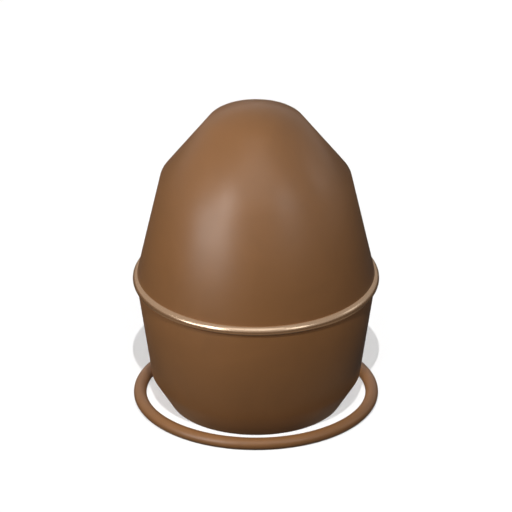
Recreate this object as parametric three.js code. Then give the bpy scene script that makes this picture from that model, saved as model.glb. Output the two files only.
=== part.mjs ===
// A moulded milk chocolate egg. It stands on a flat foot, a lustred bead is piped round
// its seam, and a plain chocolate ring lies on the table round its foot.
//
// Millimetres, +Z up. The origin is the middle of the foot, on the surface it stands on.

import * as THREE from "three";

// The egg's outline, as radius and height. Straight tapering walls run between these edges.
const FOOT_EDGE = new THREE.Vector2(32, 0);
const BASE_SHOULDER = new THREE.Vector2(39, 11.2);
const SEAM = new THREE.Vector2(45, 50.1);
const UPPER_SHOULDER = new THREE.Vector2(36, 92);
const CROWN_EDGE = new THREE.Vector2(18, 116);
const CROWN_RISE = 5; // height of the shallow dome above the crown's edge
const MOULDED_CUTBACK = 2; // how far from an edge the mould starts to round it
const FOOT_CUTBACK = 0.8; // the foot was melted flat on a warm plate, so its edge is crisper

// The bead piped round the seam, and the groove that it lies in.
const BEAD_CENTRE = new THREE.Vector2(43.7, SEAM.y);
const BEAD_THICKNESS = 5;
const BEAD_CLEARANCE = 0.3;

// The loose ring round the foot, which set on a flat sheet and so has a flat underside.
const RING_THICKNESS = 4.8;
const RING_FLAT_DEPTH = 0.2; // how much of the round section the flat takes away
const RING_CENTRE = new THREE.Vector2(43.4, RING_THICKNESS / 2 - RING_FLAT_DEPTH);

// How finely the round shapes are divided.
const STEPS_ROUND = 96;
const STEPS_PER_SECTION = 16;
const STEPS_PER_CURVE = 4;

const EGG_CHOCOLATE = { color: 0x8c6440, roughness: 0.42, metalness: 0 };
const RING_CHOCOLATE = { color: 0x8c6446, roughness: 0.48, metalness: 0 };
const BRONZE_LUSTRE = { color: 0xc08a60, roughness: 0.28, metalness: 0.7 };

// Turns an outline, drawn as radius and height, round the upright axis.
function turned(name, outline, look) {
  const shape = new THREE.LatheGeometry(outline, STEPS_ROUND);
  shape.rotateX(Math.PI / 2);
  const mesh = new THREE.Mesh(shape, new THREE.MeshStandardMaterial(look));
  mesh.name = name;
  return mesh;
}

// Runs straight towards an edge, then rounds it towards the next one.
function lineToRoundedEdge(outline, edge, next, cutback) {
  const start = edge.clone();
  start.add(outline.currentPoint.clone().sub(edge).setLength(cutback));
  const end = edge.clone();
  end.add(next.clone().sub(edge).setLength(cutback));
  outline.lineTo(start.x, start.y);
  outline.quadraticCurveTo(edge.x, edge.y, end.x, end.y);
}

// Where a wall that runs from the seam towards an edge comes out of the seam's groove.
function grooveLip(edge, grooveRadius) {
  const along = edge.clone().sub(SEAM).normalize();
  const seamFromBead = SEAM.clone().sub(BEAD_CENTRE);
  const closest = seamFromBead.dot(along);
  const run = Math.sqrt(closest ** 2 - seamFromBead.lengthSq() + grooveRadius ** 2) - closest;
  return SEAM.clone().addScaledVector(along, run);
}

// Adds the groove, round the bead's section with a little clearance.
function addSeamGroove(outline) {
  const grooveRadius = BEAD_THICKNESS / 2 + BEAD_CLEARANCE;
  const lowerLip = grooveLip(BASE_SHOULDER, grooveRadius);
  const upperLip = grooveLip(UPPER_SHOULDER, grooveRadius);
  const lowerAngle = lowerLip.clone().sub(BEAD_CENTRE).angle();
  const upperAngle = upperLip.clone().sub(BEAD_CENTRE).angle();
  outline.lineTo(lowerLip.x, lowerLip.y);
  outline.absarc(BEAD_CENTRE.x, BEAD_CENTRE.y, grooveRadius, lowerAngle, upperAngle, true);
}

// Adds the crown: a rounded edge, then a shallow dome up to the pole.
function addCrown(outline) {
  const domeRadius = (CROWN_EDGE.x ** 2 + CROWN_RISE ** 2) / (2 * CROWN_RISE);
  const domeCentreHeight = CROWN_EDGE.y + CROWN_RISE - domeRadius;
  const edgeAngle = Math.atan2(CROWN_EDGE.y - domeCentreHeight, CROWN_EDGE.x);
  const domeStartAngle = edgeAngle + MOULDED_CUTBACK / domeRadius;
  const domeStart = new THREE.Vector2(
    domeRadius * Math.cos(domeStartAngle),
    domeCentreHeight + domeRadius * Math.sin(domeStartAngle),
  );
  lineToRoundedEdge(outline, CROWN_EDGE, domeStart, MOULDED_CUTBACK);
  outline.absarc(0, domeCentreHeight, domeRadius, domeStartAngle, Math.PI / 2, false);
}

// The egg, solid through, from the middle of its flat foot up to its pole.
function eggBody() {
  const outline = new THREE.Path();
  outline.moveTo(0, 0);
  lineToRoundedEdge(outline, FOOT_EDGE, BASE_SHOULDER, FOOT_CUTBACK);
  lineToRoundedEdge(outline, BASE_SHOULDER, SEAM, MOULDED_CUTBACK);
  addSeamGroove(outline);
  lineToRoundedEdge(outline, UPPER_SHOULDER, CROWN_EDGE, MOULDED_CUTBACK);
  addCrown(outline);
  return turned("egg_body", outline.getPoints(STEPS_PER_CURVE), EGG_CHOCOLATE);
}

// The bead of lustred chocolate, a full round that fills the seam's groove.
function seamBead() {
  const section = new THREE.Path();
  section.absarc(BEAD_CENTRE.x, BEAD_CENTRE.y, BEAD_THICKNESS / 2, 0, 2 * Math.PI, false);
  return turned("seam_bead", section.getPoints(STEPS_PER_SECTION / 2), BRONZE_LUSTRE);
}

// The loose ring: a round section with a flat underside on the table.
function footRing() {
  const radius = RING_THICKNESS / 2;
  const flatAngle = Math.asin(RING_CENTRE.y / radius);
  const section = new THREE.Path();
  section.absarc(RING_CENTRE.x, RING_CENTRE.y, radius, -flatAngle, Math.PI + flatAngle, false);
  section.closePath();
  return turned("foot_ring", section.getPoints(STEPS_PER_SECTION / 2), RING_CHOCOLATE);
}

const chocolateEgg = new THREE.Group();
chocolateEgg.add(eggBody(), seamBead(), footRing());

export default chocolateEgg;
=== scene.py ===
# %% [markdown]
# # A moulded chocolate egg with a lustred bead and a loose ring
#
# The egg is cast in a mould whose walls run straight from edge to edge. A bead is piped round
# its widest part and brushed with bronze lustre. A thin ring of the same chocolate lies on the
# table round its foot.
#
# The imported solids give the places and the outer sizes. Here each solid gets a finer skin and a
# finish. The frame is in metres, and a confectioner thinks in millimetres, so MM turns one into
# the other.

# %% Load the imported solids
import math

import bpy
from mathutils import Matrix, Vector


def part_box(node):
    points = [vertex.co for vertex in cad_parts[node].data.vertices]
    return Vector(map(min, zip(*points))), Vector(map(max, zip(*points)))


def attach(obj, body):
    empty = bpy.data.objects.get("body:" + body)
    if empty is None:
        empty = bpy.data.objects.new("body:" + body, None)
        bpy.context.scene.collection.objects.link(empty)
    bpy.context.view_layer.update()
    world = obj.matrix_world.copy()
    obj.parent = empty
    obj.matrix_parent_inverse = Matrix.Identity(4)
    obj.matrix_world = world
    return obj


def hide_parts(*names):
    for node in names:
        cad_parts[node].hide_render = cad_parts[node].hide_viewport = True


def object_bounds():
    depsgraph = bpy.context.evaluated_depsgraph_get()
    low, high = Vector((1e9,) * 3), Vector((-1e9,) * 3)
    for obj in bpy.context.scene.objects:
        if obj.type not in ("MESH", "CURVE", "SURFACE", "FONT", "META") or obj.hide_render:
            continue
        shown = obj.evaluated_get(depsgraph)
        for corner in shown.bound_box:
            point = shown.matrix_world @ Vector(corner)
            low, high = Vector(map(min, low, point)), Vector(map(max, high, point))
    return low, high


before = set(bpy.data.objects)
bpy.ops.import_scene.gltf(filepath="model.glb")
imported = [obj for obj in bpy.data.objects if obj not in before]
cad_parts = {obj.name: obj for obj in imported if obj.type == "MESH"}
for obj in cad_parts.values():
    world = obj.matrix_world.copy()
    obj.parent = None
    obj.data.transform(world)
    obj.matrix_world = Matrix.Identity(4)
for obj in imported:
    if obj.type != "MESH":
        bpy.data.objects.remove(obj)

MM = 0.001
cad_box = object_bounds()
print("packed solids:", ", ".join(sorted(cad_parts)))

# %% [markdown]
# ## Helpers for node trees
#
# Shapes and finishes are both built from nodes, whose sockets hold either a value or a link.
# Nodes could be placed and joined one call at a time, but that hides the idea behind the wiring.
# One helper adds a node and fills its sockets either way, and a second one does sums.


# %% Node helpers
def add_node(tree, kind, sockets=None, **options):
    """Adds a node, sets its options, and fills its sockets with values or links."""
    node = tree.nodes.new(kind)
    for option, value in options.items():
        setattr(node, option, value)
    for key, value in (sockets or {}).items():
        if isinstance(value, bpy.types.NodeSocket):
            tree.links.new(value, node.inputs[key])
        else:
            node.inputs[key].default_value = value
    return node


def calc(tree, operation, *values):
    """One step of arithmetic in a tree."""
    return add_node(tree, "ShaderNodeMath", dict(enumerate(values)), operation=operation).outputs[0]


def parts_of(tree, vector):
    """The X, Y and Z outputs of a vector."""
    return add_node(tree, "ShaderNodeSeparateXYZ", {0: vector}).outputs


# %% [markdown]
# ## Noise with a real size
#
# Nothing made by hand is even, and noise textures give that unevenness. Blender asks for their
# scale, which is one over the size of a lump, so this helper takes the lump's size instead.
# Most of a noise lies between 0.3 and 0.7. The second helper stretches that middle part over
# the range that is wanted.

# %% Noise helpers
NOISE_MIDDLE = (0.3, 0.7)


def lumps(tree, place, size, detail=2.0, distortion=0.0):
    """Noise whose lumps are about this many metres across."""
    sockets = {"Vector": place, "Scale": 1 / size, "Detail": detail, "Distortion": distortion}
    return add_node(tree, "ShaderNodeTexNoise", sockets).outputs["Fac"]


def stretch(tree, noise, low, high):
    """Stretches a noise so that it runs from low to high."""
    sockets = {
        "Value": noise,
        "From Min": NOISE_MIDDLE[0],
        "From Max": NOISE_MIDDLE[1],
        "To Min": low,
        "To Max": high,
    }
    return add_node(tree, "ShaderNodeMapRange", sockets).outputs["Result"]


def blend_tones(tree, factor, first, second):
    """A colour between two tones."""
    sockets = {"Factor": factor, "A": (*first, 1.0), "B": (*second, 1.0)}
    return add_node(tree, "ShaderNodeMix", sockets, data_type="RGBA").outputs["Result"]


def start_finish(name):
    """A new material: its tree, its main shader and the place on the piece, in metres."""
    material = bpy.data.materials.new(name)
    material.use_nodes = True
    tree = material.node_tree
    place = add_node(tree, "ShaderNodeTexCoord").outputs["Object"]
    return material, tree, tree.nodes["Principled BSDF"], place


# %% [markdown]
# ## The surface of set chocolate
#
# Chocolate that sets against a polished mould takes its gloss, but never perfectly. There is a
# very fine grain, and here and there an air bubble was caught against the mould and left a
# pin-prick. Both are far too small to model, so they go into a bump. A Voronoi texture gives
# scattered points, and only those that lie close to the surface show, which makes them rare.
# The bump's distance is one, so that its height is in metres.

# %% Grain and pin-pricks
GRAIN_SIZE = 0.9 * MM
GRAIN_DETAIL = 3.0
GRAIN_DEPTH = 0.006 * MM
BUBBLE_SPACING = 5.0 * MM
BUBBLE_RADIUS = 0.3 * MM
BUBBLE_DEPTH = 0.12 * MM


def chocolate_relief(tree, place, grain_depth):
    """A bump with fine grain all over and a few pin-pricks."""
    grain = calc(tree, "MULTIPLY", lumps(tree, place, GRAIN_SIZE, GRAIN_DETAIL), grain_depth)
    points = add_node(
        tree, "ShaderNodeTexVoronoi", {"Vector": place, "Scale": 1 / BUBBLE_SPACING}
    )
    distance = calc(tree, "MULTIPLY", points.outputs["Distance"], BUBBLE_SPACING)
    depth = add_node(
        tree,
        "ShaderNodeMapRange",
        {"Value": distance, "From Max": BUBBLE_RADIUS, "To Min": BUBBLE_DEPTH, "To Max": 0.0},
        interpolation_type="SMOOTHSTEP",
    ).outputs["Result"]
    height = calc(tree, "SUBTRACT", grain, depth)
    return add_node(tree, "ShaderNodeBump", {"Height": height, "Distance": 1.0}).outputs["Normal"]


# %% [markdown]
# ## Milk chocolate
#
# Milk chocolate is a muted brown, and it turns out too orange if its colour is picked by eye.
# Its light comes from inside, under a broad neutral sheen, which a plain Principled shader with
# a middling roughness gives. The tone drifts a little where the chocolate swirled as it was
# poured, and the sheen is cloudy where it was handled. Two wide noises do these two jobs. The
# ring was piped and never touched a mould, so its grain is twice as deep and its dull parts are
# duller.

# %% The chocolate finish
DEEP_CHOCOLATE = (0.167, 0.075, 0.0265)
PALE_CHOCOLATE = (0.181, 0.081, 0.0285)
SWIRL_SIZE = 26 * MM
SWIRL_DETAIL = 4.0
SWIRL_DISTORTION = 1.5
CLOUD_SIZE = 14 * MM
PIPED_GRAIN_DEPTH = 2 * GRAIN_DEPTH


def milk_chocolate(name, glossy, dull, grain_depth):
    """Satin chocolate between two near tones and two near roughnesses."""
    material, tree, skin, place = start_finish(name)
    swirl = lumps(tree, place, SWIRL_SIZE, SWIRL_DETAIL, SWIRL_DISTORTION)
    cloud = lumps(tree, place, CLOUD_SIZE)
    swirled = stretch(tree, swirl, 0.0, 1.0)
    tone = blend_tones(tree, swirled, DEEP_CHOCOLATE, PALE_CHOCOLATE)
    tree.links.new(tone, skin.inputs["Base Color"])
    tree.links.new(stretch(tree, cloud, glossy, dull), skin.inputs["Roughness"])
    tree.links.new(chocolate_relief(tree, place, grain_depth), skin.inputs["Normal"])
    return material


egg_chocolate = milk_chocolate("egg_chocolate", glossy=0.38, dull=0.42, grain_depth=GRAIN_DEPTH)
ring_chocolate = milk_chocolate(
    "ring_chocolate", glossy=0.38, dull=0.46, grain_depth=PIPED_GRAIN_DEPTH
)
print("finishes:", egg_chocolate.name, ring_chocolate.name)

# %% [markdown]
# ## Bronze lustre
#
# Lustre dust is ground mica with a thin coat of iron oxide, brushed on dry. It isn't a metal: the
# chocolate shows through it, and only its reflections are bronze. A metal finish would hide the
# brown, and a plain gloss would reflect white. So the chocolate keeps its colour under a high
# index of refraction, which mirrors much more than chocolate does, with a bronze tint on those
# reflections. One fine noise lays the dust's speckle, and a wide one dulls it where it was wiped.

# %% The lustre finish
DUST_SIZE = 0.35 * MM
DUST_DETAIL = 1.0
COATED_MICA_IOR = 3.5
DUST_COVER = 0.58
BRONZE = (1.0, 0.8, 0.6, 1.0)
DUSTED_CHOCOLATE = (0.21, 0.105, 0.045)
POLISHED = 0.2
WIPED = 0.27


def bronze_lustre(name):
    """Chocolate under a brushed coat of bronze mica dust."""
    material, tree, skin, place = start_finish(name)
    skin.inputs["IOR"].default_value = COATED_MICA_IOR
    skin.inputs["Specular IOR Level"].default_value = DUST_COVER
    skin.inputs["Specular Tint"].default_value = BRONZE
    speckle = stretch(tree, lumps(tree, place, DUST_SIZE, DUST_DETAIL), 0.0, 1.0)
    tone = blend_tones(tree, speckle, DEEP_CHOCOLATE, DUSTED_CHOCOLATE)
    tree.links.new(tone, skin.inputs["Base Color"])
    wiping = lumps(tree, place, CLOUD_SIZE)
    tree.links.new(stretch(tree, wiping, POLISHED, WIPED), skin.inputs["Roughness"])
    tree.links.new(chocolate_relief(tree, place, GRAIN_DEPTH), skin.inputs["Normal"])
    return material


bead_lustre = bronze_lustre("bronze_lustre")
print("finish:", bead_lustre.name)

# %% [markdown]
# ## From a tree to a piece
#
# All three pieces follow a rule, so Geometry Nodes grow them. Each tree has a named input for
# every size, and ends by making its geometry real and coating it with the finish. The sizes are
# set on the modifier by each socket's identifier before Blender first evaluates the object.
# The result is then kept as a plain mesh, so what is left is a simple object at the origin.

# %% Tree and piece makers
SOCKET_KINDS = {
    int: "NodeSocketInt",
    float: "NodeSocketFloat",
    tuple: "NodeSocketVector",
    bpy.types.Material: "NodeSocketMaterial",
}


def start_shape_tree(name, sizes):
    """A new shape tree with one named input for each size. Returns it with those inputs."""
    tree = bpy.data.node_groups.new(name, "GeometryNodeTree")
    for label, value in sizes.items():
        tree.interface.new_socket(label, in_out="INPUT", socket_type=SOCKET_KINDS[type(value)])
    tree.interface.new_socket("Shape", in_out="OUTPUT", socket_type="NodeSocketGeometry")
    return tree, tree.nodes.new("NodeGroupInput").outputs


def end_shape_tree(tree, shape, finish):
    """Makes the shape real geometry, coats it and sends it out."""
    real = add_node(tree, "GeometryNodeRealizeInstances", {"Geometry": shape}).outputs[0]
    coated = add_node(tree, "GeometryNodeSetMaterial", {"Geometry": real, "Material": finish})
    add_node(tree, "NodeGroupOutput", {"Shape": coated.outputs[0]})


def grow(name, tree, sizes):
    """Runs a shape tree with these sizes and keeps the result as a plain mesh object."""
    piece = bpy.data.objects.new(name, bpy.data.meshes.new(name))
    bpy.context.scene.collection.objects.link(piece)
    modifier = piece.modifiers.new("shape", "NODES")
    modifier.node_group = tree
    for socket in tree.interface.items_tree:
        if socket.in_out == "INPUT":
            modifier[socket.identifier] = sizes[socket.name]
    evaluated = piece.evaluated_get(bpy.context.evaluated_depsgraph_get())
    grown = bpy.data.meshes.new_from_object(evaluated)
    piece.modifiers.remove(modifier)
    piece.data = grown
    print(f"{name}: {len(grown.vertices)} points, {len(grown.polygons)} faces")
    return piece


# %% [markdown]
# ## The egg's outline
#
# The mould is a chain of straight walls, so each edge is a radius and a height. It runs on below
# the table: the egg came out of it with a rounded bottom, and was then melted flat on a warm
# plate. Keeping the whole mould here lets the foot be made the same way, further on. The two
# lowest edges are pressed flat and never show. The lowest wall runs towards one of them, and both
# decide how fast the sheen turns under at the foot.

# %% The mould's edges
MOULD_EDGES = {
    "Bottom Pole": (0.0 * MM, -20.0 * MM),
    "Bottom Edge": (22.0 * MM, -16.0 * MM),
    "Base Shoulder": (39.0 * MM, 11.2 * MM),
    "Seam": (45.0 * MM, 50.1 * MM),
    "Upper Shoulder": (36.0 * MM, 92.0 * MM),
    "Crown Edge": (18.0 * MM, 116.0 * MM),
    "Pole": (0.0 * MM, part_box("egg_body")[1].z),
}
egg_sizes = {
    **{edge: (radius, 0.0, height) for edge, (radius, height) in MOULD_EDGES.items()},
    "Mould Rounding": 2.0 * MM,
    "Steps per Edge": 4,
    "Crown Rise": MOULD_EDGES["Pole"][1] - MOULD_EDGES["Crown Edge"][1],
    "Foot Rounding": 0.6 * MM,
    "Shrinkage": 0.0015,
    "Shrinkage Patch": 30.0 * MM,
    "Seed": 4.0,
    "Steps Round": 192,
    "Steps Along": 300,
    "Finish": egg_chocolate,
}
print("egg, from pole to foot:", round(MOULD_EDGES["Pole"][1] / MM, 1), "mm")

# %% [markdown]
# ## Drawing the outline in a tree
#
# The tree makes one point for each edge, places it by its number, joins the points to a curve
# and rounds the edges a little. The curve also carries a direction. A polished mould makes the
# sheen flow evenly from edge to edge, so at each edge the surface is told to run parallel to
# the line between its two neighbours, and level at both poles.


# %% The outline's nodes
def by_number(tree, data_type, choices):
    """For each point, the choice that has the point's number."""
    number = add_node(tree, "GeometryNodeInputIndex").outputs[0]
    switch = add_node(tree, "GeometryNodeIndexSwitch", {"Index": number}, data_type=data_type)
    while len(switch.index_switch_items) < len(choices):
        switch.index_switch_items.new()
    for socket, choice in zip(list(switch.inputs)[1:], choices):
        if isinstance(choice, bpy.types.NodeSocket):
            tree.links.new(choice, socket)
        else:
            socket.default_value = choice
    return switch.outputs[0]


def neighbour(tree, offset):
    """The position of the next edge along the outline, or of the one before."""
    number = add_node(tree, "GeometryNodeInputIndex").outputs[0]
    other = add_node(
        tree, "GeometryNodeOffsetPointInCurve", {"Point Index": number, "Offset": offset}
    )
    sockets = {
        "Value": add_node(tree, "GeometryNodeInputPosition").outputs[0],
        "Index": other.outputs["Point Index"],
    }
    return add_node(tree, "GeometryNodeFieldAtIndex", sockets, data_type="FLOAT_VECTOR").outputs[0]


def sheen_directions(tree):
    """The way the sheen runs at each edge: along the line between its neighbours."""
    sockets = {0: neighbour(tree, 1), 1: neighbour(tree, -1)}
    chord = add_node(tree, "ShaderNodeVectorMath", sockets, operation="SUBTRACT").outputs[0]
    along = add_node(tree, "ShaderNodeVectorMath", {0: chord}, operation="NORMALIZE").outputs[0]
    outwards = (1.0, 0.0, 0.0)
    inwards = (-1.0, 0.0, 0.0)
    return by_number(tree, "VECTOR", [outwards, *[along] * (len(MOULD_EDGES) - 2), inwards])


def mould_outline(tree, size):
    """The outline as a curve with rounded edges, and the direction that it carries."""
    places = by_number(tree, "VECTOR", [size[edge] for edge in MOULD_EDGES])
    points = add_node(
        tree, "GeometryNodePoints", {"Count": len(MOULD_EDGES), "Position": places}
    )
    walls = add_node(tree, "GeometryNodePointsToCurves", {"Points": points.outputs[0]})
    marked = add_node(tree, "GeometryNodeCaptureAttribute", {"Geometry": walls.outputs[0]})
    marked.capture_items.new("VECTOR", "Direction")
    tree.links.new(sheen_directions(tree), marked.inputs["Direction"])
    sockets = {
        "Curve": marked.outputs[0],
        "Count": size["Steps per Edge"],
        "Radius": size["Mould Rounding"],
        "Limit Radius": True,
    }
    rounded = add_node(tree, "GeometryNodeFilletCurve", sockets, mode="POLY")
    return rounded.outputs[0], marked.outputs["Direction"]


# %% [markdown]
# ## Crown and foot
#
# Two places are not straight walls. The crown swells into a shallow dome, which is an arch
# that is highest halfway between the crown's edge and the pole. The foot was melted: all of the
# outline that would lie below the table is pressed up to the table's height. A smooth maximum
# does that and leaves the foot's edge slightly soft, as a warm plate does.


# %% Crown and foot nodes
def with_crown_dome(tree, size, place):
    """Lifts the outline between the crown's edge and the pole into a shallow dome."""
    at = parts_of(tree, place)
    crown_radius = parts_of(tree, size["Crown Edge"])["X"]
    inside = calc(tree, "MINIMUM", calc(tree, "DIVIDE", at["X"], crown_radius), 1.0)
    arch = calc(tree, "MULTIPLY", inside, calc(tree, "SUBTRACT", 1.0, inside))
    seam_height = parts_of(tree, size["Seam"])["Z"]
    upper_half = calc(tree, "GREATER_THAN", at["Z"], seam_height)
    lift = calc(tree, "MULTIPLY", calc(tree, "MULTIPLY", arch, upper_half), size["Crown Rise"])
    sockets = {"X": at["X"], "Z": calc(tree, "ADD", at["Z"], lift)}
    return add_node(tree, "ShaderNodeCombineXYZ", sockets).outputs[0]


def with_melted_foot(tree, size, place):
    """Presses what lies below the table up to a flat foot with a soft edge."""
    at = parts_of(tree, place)
    table_height = 0.0
    height = calc(tree, "SMOOTH_MAX", at["Z"], table_height, size["Foot Rounding"])
    return add_node(tree, "ShaderNodeCombineXYZ", {"X": at["X"], "Z": height}).outputs[0]


def outward_facing(tree, direction, place):
    """The way the surface faces: square to its direction, and straight down under the foot."""
    way = parts_of(tree, direction)
    sockets = {"X": way["Z"], "Z": calc(tree, "MULTIPLY", way["X"], -1.0)}
    outwards = add_node(tree, "ShaderNodeCombineXYZ", sockets).outputs[0]
    under_foot = calc(tree, "LESS_THAN", parts_of(tree, place)["Z"], 0.0)
    sockets = {"Factor": under_foot, "A": outwards, "B": (0.0, 0.0, -1.0)}
    return add_node(tree, "ShaderNodeMix", sockets, data_type="VECTOR").outputs["Result"]


# %% [markdown]
# ## Wrapping a grid round the outline
#
# A Screw modifier could turn the outline, but it would lose the directions. Here a flat grid is
# wrapped instead: its width becomes the turn round the upright axis, and its height becomes the
# way along the outline. Chocolate also shrinks a little as it sets, more in one place than in
# another, which is what lets it out of the mould. So each point is drawn in by a hair.


# %% The egg's nodes
def turned(tree, vector, angle):
    """A vector carried round the upright axis."""
    sockets = {"Vector": vector, "Angle": angle}
    return add_node(tree, "ShaderNodeVectorRotate", sockets, rotation_type="Z_AXIS").outputs[0]


def shrunk(tree, size, place):
    """Draws each place in towards the middle of the foot by an uneven hair."""
    sockets = {
        "Vector": place,
        "W": size["Seed"],
        "Scale": calc(tree, "DIVIDE", 1.0, size["Shrinkage Patch"]),
    }
    patch = add_node(tree, "ShaderNodeTexNoise", sockets, noise_dimensions="4D").outputs["Fac"]
    keep = calc(tree, "SUBTRACT", 1.0, calc(tree, "MULTIPLY", patch, size["Shrinkage"]))
    return add_node(
        tree, "ShaderNodeVectorMath", {0: place, "Scale": keep}, operation="SCALE"
    ).outputs[0]


def wrapped_grid(tree, size):
    """A grid wrapped round the outline. Returns it with the way each point faces."""
    outline, direction = mould_outline(tree, size)
    columns = calc(tree, "ADD", size["Steps Round"], 1)
    grid = add_node(
        tree, "GeometryNodeMeshGrid", {"Vertices X": columns, "Vertices Y": size["Steps Along"]}
    )
    across = parts_of(tree, grid.outputs["UV Map"])
    sample = add_node(
        tree,
        "GeometryNodeSampleCurve",
        {"Curves": outline, "Factor": across["Y"]},
        mode="FACTOR",
        data_type="FLOAT_VECTOR",
    )
    tree.links.new(direction, sample.inputs["Value"])
    on_mould = sample.outputs["Position"]
    place = with_melted_foot(tree, size, with_crown_dome(tree, size, on_mould))
    facing = outward_facing(tree, sample.outputs["Value"], on_mould)
    angle = calc(tree, "MULTIPLY", across["X"], math.tau)
    kept = add_node(tree, "GeometryNodeCaptureAttribute", {"Geometry": grid.outputs["Mesh"]})
    for label, vector in (("Facing", facing), ("Place", place)):
        kept.capture_items.new("VECTOR", label)
        tree.links.new(turned(tree, vector, angle), kept.inputs[label])
    sockets = {"Geometry": kept.outputs[0], "Position": shrunk(tree, size, kept.outputs["Place"])}
    placed = add_node(tree, "GeometryNodeSetPosition", sockets)
    return placed.outputs[0], kept.outputs["Facing"]


# %% [markdown]
# ## The egg
#
# The wrapped grid meets itself along one side and at both poles, so those points are welded.
# Then the surface is told which way it faces. Blender would work that out from the flat walls,
# and show each of them as a hard band, while the mould's polish makes them flow together.

# %% Grow the egg
WELD_DISTANCE = 0.001 * MM


def turned_egg_tree(sizes):
    """The tree that grows the egg from its outline."""
    tree, size = start_shape_tree("turned egg", sizes)
    wrapped, facing = wrapped_grid(tree, size)
    welded = add_node(
        tree, "GeometryNodeMergeByDistance", {"Geometry": wrapped, "Distance": WELD_DISTANCE}
    )
    smooth = add_node(tree, "GeometryNodeSetShadeSmooth", {"Geometry": welded.outputs[0]})
    polished = add_node(
        tree,
        "GeometryNodeSetMeshNormal",
        {"Mesh": smooth.outputs[0]},
        mode="FREE",
        domain="POINT",
    )
    tree.links.new(facing, polished.inputs["Custom Normal"])
    end_shape_tree(tree, polished.outputs[0], size["Finish"])
    return tree


egg = grow("moulded_egg", turned_egg_tree(egg_sizes), egg_sizes)

# %% [markdown]
# ## A piped loop
#
# The bead and the ring are both piped: a round string of chocolate laid along a circle. One tree
# sweeps a round section along a circle for both. The string's thickness wavers a little with the
# hand that pipes it. Whatever would sink into the table is pressed flat, so the ring gets
# the flat underside that it set on, and the bead, far above the table, stays round.


# %% The loop's nodes
def round_curve(tree, steps, radius):
    """A circle."""
    sockets = {"Resolution": steps, "Radius": radius}
    return add_node(tree, "GeometryNodeCurvePrimitiveCircle", sockets).outputs[0]


def piped_thickness(tree, size):
    """How much of its full thickness the string has at each place."""
    sockets = {"W": size["Seed"], "Scale": calc(tree, "DIVIDE", 1.0, size["Waver Length"])}
    waver = add_node(tree, "ShaderNodeTexNoise", sockets, noise_dimensions="4D").outputs["Fac"]
    return calc(tree, "SUBTRACT", 1.0, calc(tree, "MULTIPLY", waver, size["Waver"]))


def piped_loop_tree(sizes):
    """The tree that pipes a string of chocolate along a circle."""
    tree, size = start_shape_tree("piped loop", sizes)
    string_radius = calc(tree, "MULTIPLY", size["Thickness"], 0.5)
    sockets = {
        "Curve": round_curve(tree, size["Steps Round"], size["Loop Radius"]),
        "Profile Curve": round_curve(tree, size["Steps Across"], string_radius),
        "Scale": piped_thickness(tree, size),
    }
    swept = add_node(tree, "GeometryNodeCurveToMesh", sockets)
    at = parts_of(tree, add_node(tree, "GeometryNodeInputPosition").outputs[0])
    height = calc(tree, "MAXIMUM", calc(tree, "ADD", at["Z"], size["Height"]), size["Table Height"])
    place = add_node(tree, "ShaderNodeCombineXYZ", {"X": at["X"], "Y": at["Y"], "Z": height})
    sockets = {"Geometry": swept.outputs[0], "Position": place.outputs[0]}
    laid = add_node(tree, "GeometryNodeSetPosition", sockets)
    smooth = add_node(tree, "GeometryNodeSetShadeSmooth", {"Geometry": laid.outputs[0]})
    end_shape_tree(tree, smooth.outputs[0], size["Finish"])
    return tree


# %% [markdown]
# ## The bead
#
# The bead was piped soft into the seam's groove, where the two halves of the mould met. As it
# set, it shrank a little and sagged a little. So its box gives the place and the widest radius,
# and the string itself comes out slightly thinner and lower than its solid.

# %% Grow the bead
BEAD_SHRINKAGE = 0.7 * MM
BEAD_SAG = 0.1 * MM

bead_low, bead_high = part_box("seam_bead")
bead_thickness = bead_high.z - bead_low.z - BEAD_SHRINKAGE
bead_sizes = {
    "Loop Radius": bead_high.x - bead_thickness / 2,
    "Height": (bead_high.z + bead_low.z) / 2 - BEAD_SAG,
    "Thickness": bead_thickness,
    "Table Height": 0.0,
    "Waver": 0.02,
    "Waver Length": 12.0 * MM,
    "Seed": 1.0,
    "Steps Round": 256,
    "Steps Across": 32,
    "Finish": bead_lustre,
}
loop_tree = piped_loop_tree(bead_sizes)
bead = grow("lustred_bead", loop_tree, bead_sizes)

# %% [markdown]
# ## The ring
#
# The ring set on a flat sheet, which took a sliver off its underside. So its box is a little
# lower than the string is thick, and the string's thickness has to be given. The same tree makes
# it, with other sizes and another seed.

# %% Grow the ring
RING_THICKNESS = 4.8 * MM
ring_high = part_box("foot_ring")[1]
ring_sizes = {
    **bead_sizes,
    "Loop Radius": ring_high.x - RING_THICKNESS / 2,
    "Height": ring_high.z - RING_THICKNESS / 2,
    "Thickness": RING_THICKNESS,
    "Seed": 2.0,
    "Finish": ring_chocolate,
}
ring = grow("piped_ring", loop_tree, ring_sizes)

# %% [markdown]
# ## Handing the pieces over
#
# Each piece now takes its solid's place. It rides on the one body that the egg has, and stands
# for its solid, which is hidden.

# %% Take the solids' places
for piece, solid, finish in (
    (egg, "egg_body", "egg_chocolate"),
    (bead, "seam_bead", "bronze_lustre"),
    (ring, "foot_ring", "ring_chocolate"),
):
    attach(piece, "root")
    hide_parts(solid)
    print(piece.name, "stands for", solid)

# %% [markdown]
# ## The table
#
# A matt, pale sheet of card. A real white table would throw so much light up that the egg's
# underside glows, and a studio would lay black card just out of view to stop it. Here the table
# is simply hidden from the pieces' light and reflections, which does the same.

# %% Lay the table
TABLE_WIDTH = 6.0
CARD_WHITE = 0.85

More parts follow.
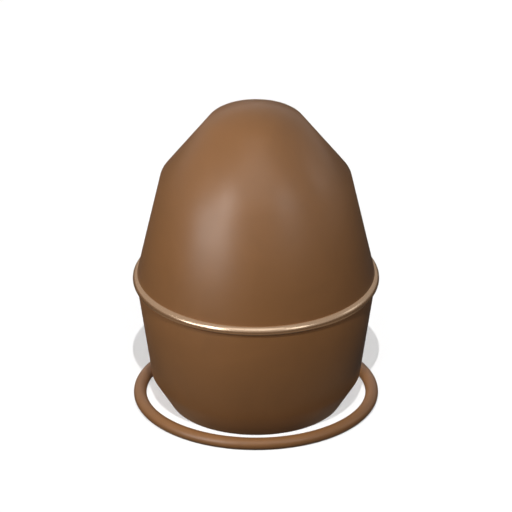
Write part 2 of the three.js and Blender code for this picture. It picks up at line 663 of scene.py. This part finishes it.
bpy.ops.mesh.primitive_plane_add(size=TABLE_WIDTH)
table = bpy.context.object
table.name = "table"
card = bpy.data.materials.new("pale_card")
card.use_nodes = True
card_skin = card.node_tree.nodes["Principled BSDF"]
card_skin.inputs["Base Color"].default_value = (CARD_WHITE, CARD_WHITE, CARD_WHITE, 1.0)
card_skin.inputs["Roughness"].default_value = 1.0
card_skin.inputs["Specular IOR Level"].default_value = 0.0
table.data.materials.append(card)
table.visible_diffuse = False
table.visible_glossy = False
print("table:", TABLE_WIDTH, "m wide")

# %% [markdown]
# ## The lamps
#
# A satin egg shows its lamps twice: as light on its skin, and as soft streaks in its sheen. A
# wide panel in front makes the broad sheen, and a narrow one hangs at each side. Three streak
# lamps show in the sheen only. Two of them, one above the other, draw the tall streak at the
# left, and one far round to the right draws a line along the bead. Three fills and the shadow
# lamp light the skin only, as lamps behind a polarising filter would. The fill at the back is
# there so that the egg isn't left dark on that side.
#
# Each lamp is a sun whose spread makes it as soft as a panel of that width. Only the last one
# casts a shadow, or the table would be full of them.

# %% Hang the lamps
middle = Vector((0.0, 0.0, cad_box[1].z / 2))


def way_to(azimuth, elevation):
    """The way to a lamp or camera. Azimuth 0 is the front, and it grows to the right."""
    turn, climb = math.radians(azimuth), math.radians(elevation)
    level = math.cos(climb)
    return Vector((math.sin(turn) * level, -math.cos(turn) * level, math.sin(climb)))


def aim(thing, target, azimuth, elevation):
    """Puts a lamp or camera one metre from its target, and points it there."""
    way = way_to(azimuth, elevation)
    thing.location = target + way
    thing.rotation_mode = "QUATERNION"
    thing.rotation_quaternion = way.to_track_quat("Z", "Y")
    bpy.context.scene.collection.objects.link(thing)


def hang_lamp(name, azimuth, elevation, strength, spread, on_skin=True, in_sheen=True):
    """A sun that lights the skin, shows in the sheen, or both. It casts no shadow."""
    bulb = bpy.data.lights.new(name, "SUN")
    bulb.energy = strength
    bulb.angle = math.radians(spread)
    bulb.use_shadow = False
    lamp = bpy.data.objects.new(name, bulb)
    lamp.visible_diffuse = on_skin
    lamp.visible_glossy = in_sheen
    aim(lamp, middle, azimuth, elevation)
    return lamp


hang_lamp("front_panel", azimuth=0, elevation=51, strength=0.67, spread=45)
hang_lamp("left_panel", azimuth=-60, elevation=8, strength=0.64, spread=20)
hang_lamp("right_panel", azimuth=40, elevation=26, strength=0.39, spread=20)
hang_lamp("low_streak", azimuth=-40, elevation=8, strength=0.53, spread=20, on_skin=False)
hang_lamp("high_streak", azimuth=-40, elevation=26, strength=0.86, spread=20, on_skin=False)
hang_lamp("side_streak", azimuth=100, elevation=20, strength=0.12, spread=20, on_skin=False)
hang_lamp("left_fill", azimuth=-80, elevation=26, strength=1.7, spread=20, in_sheen=False)
hang_lamp("back_fill", azimuth=180, elevation=8, strength=1.6, spread=20, in_sheen=False)
hang_lamp("front_fill", azimuth=0, elevation=51.5, strength=1.0, spread=3, in_sheen=False)
shadow_lamp = hang_lamp(
    "shadow_lamp", azimuth=0, elevation=51.5, strength=1.6, spread=0.5, in_sheen=False
)
shadow_lamp.data.use_shadow = True
print("lamps:", len(bpy.data.lights))

# %% [markdown]
# ## The room
#
# Around the lamps is a pale room over a dark floor. It shows only in the sheen, where it draws
# the soft rim of the egg. The bead mirrors it more clearly: bright above, then a dark line, and
# under that a fainter stripe, where a patch of floor close by is lit by light off the chocolate.
# A colour ramp over the view's height holds such a room. The height runs from -1, straight down,
# to 1, straight up, and the ramp from 0 to 1. The lamps already light the skin, so the room is
# kept off it. Looked at directly, it is plain white, so that a low view never shows the dark
# floor.

# %% Build the room
ROOM_GLOW = (0.58, 0.58, 0.58, 1.0)
FLOOR_GLOW = (0.06, 0.06, 0.06, 1.0)
PATCH_GLOW = (0.36, 0.27, 0.2, 1.0)
PLAIN_WHITE = (1.0, 1.0, 1.0, 1.0)
GLOW_BY_HEIGHT = (
    (-0.90, FLOOR_GLOW),
    (-0.83, PATCH_GLOW),
    (-0.70, PATCH_GLOW),
    (-0.60, FLOOR_GLOW),
    (-0.02, FLOOR_GLOW),
    (0.02, ROOM_GLOW),
)

room = bpy.data.worlds.new("pale_room")
room.use_nodes = True
room.cycles_visibility.diffuse = False
room_tree = room.node_tree
view = add_node(room_tree, "ShaderNodeTexCoord").outputs["Generated"]
ramp_place = calc(room_tree, "MULTIPLY_ADD", parts_of(room_tree, view)["Z"], 0.5, 0.5)
glow = add_node(room_tree, "ShaderNodeValToRGB", {"Fac": ramp_place})
while len(glow.color_ramp.elements) < len(GLOW_BY_HEIGHT):
    glow.color_ramp.elements.new(1.0)
for stop, (height, colour) in zip(glow.color_ramp.elements, GLOW_BY_HEIGHT):
    stop.position = (height + 1) / 2
    stop.color = colour
looked_at = add_node(room_tree, "ShaderNodeLightPath").outputs["Is Camera Ray"]
sockets = {"Factor": looked_at, "A": glow.outputs["Color"], "B": PLAIN_WHITE}
backdrop = add_node(room_tree, "ShaderNodeMix", sockets, data_type="RGBA").outputs["Result"]
room_tree.links.new(backdrop, room_tree.nodes["Background"].inputs["Color"])
bpy.context.scene.world = room
print("room:", room.name)

# %% [markdown]
# ## The camera
#
# The camera looks down at the egg from the front. It is an orthographic one, which shows the
# straight walls without any perspective, as a very long lens from far away does. The Standard
# view keeps the colours as they are lit.

# %% Place the camera
CAMERA_ELEVATION = 26.95
AIM_HEIGHT = 59.11 * MM
VIEW_WIDTH = 191.9 * MM

lens = bpy.data.cameras.new("camera")
lens.type = "ORTHO"
lens.ortho_scale = VIEW_WIDTH
camera = bpy.data.objects.new("camera", lens)
aim(camera, Vector((0.0, 0.0, AIM_HEIGHT)), azimuth=0, elevation=CAMERA_ELEVATION)
bpy.context.scene.camera = camera
bpy.context.scene.view_settings.view_transform = "Standard"
print("camera:", camera.name)
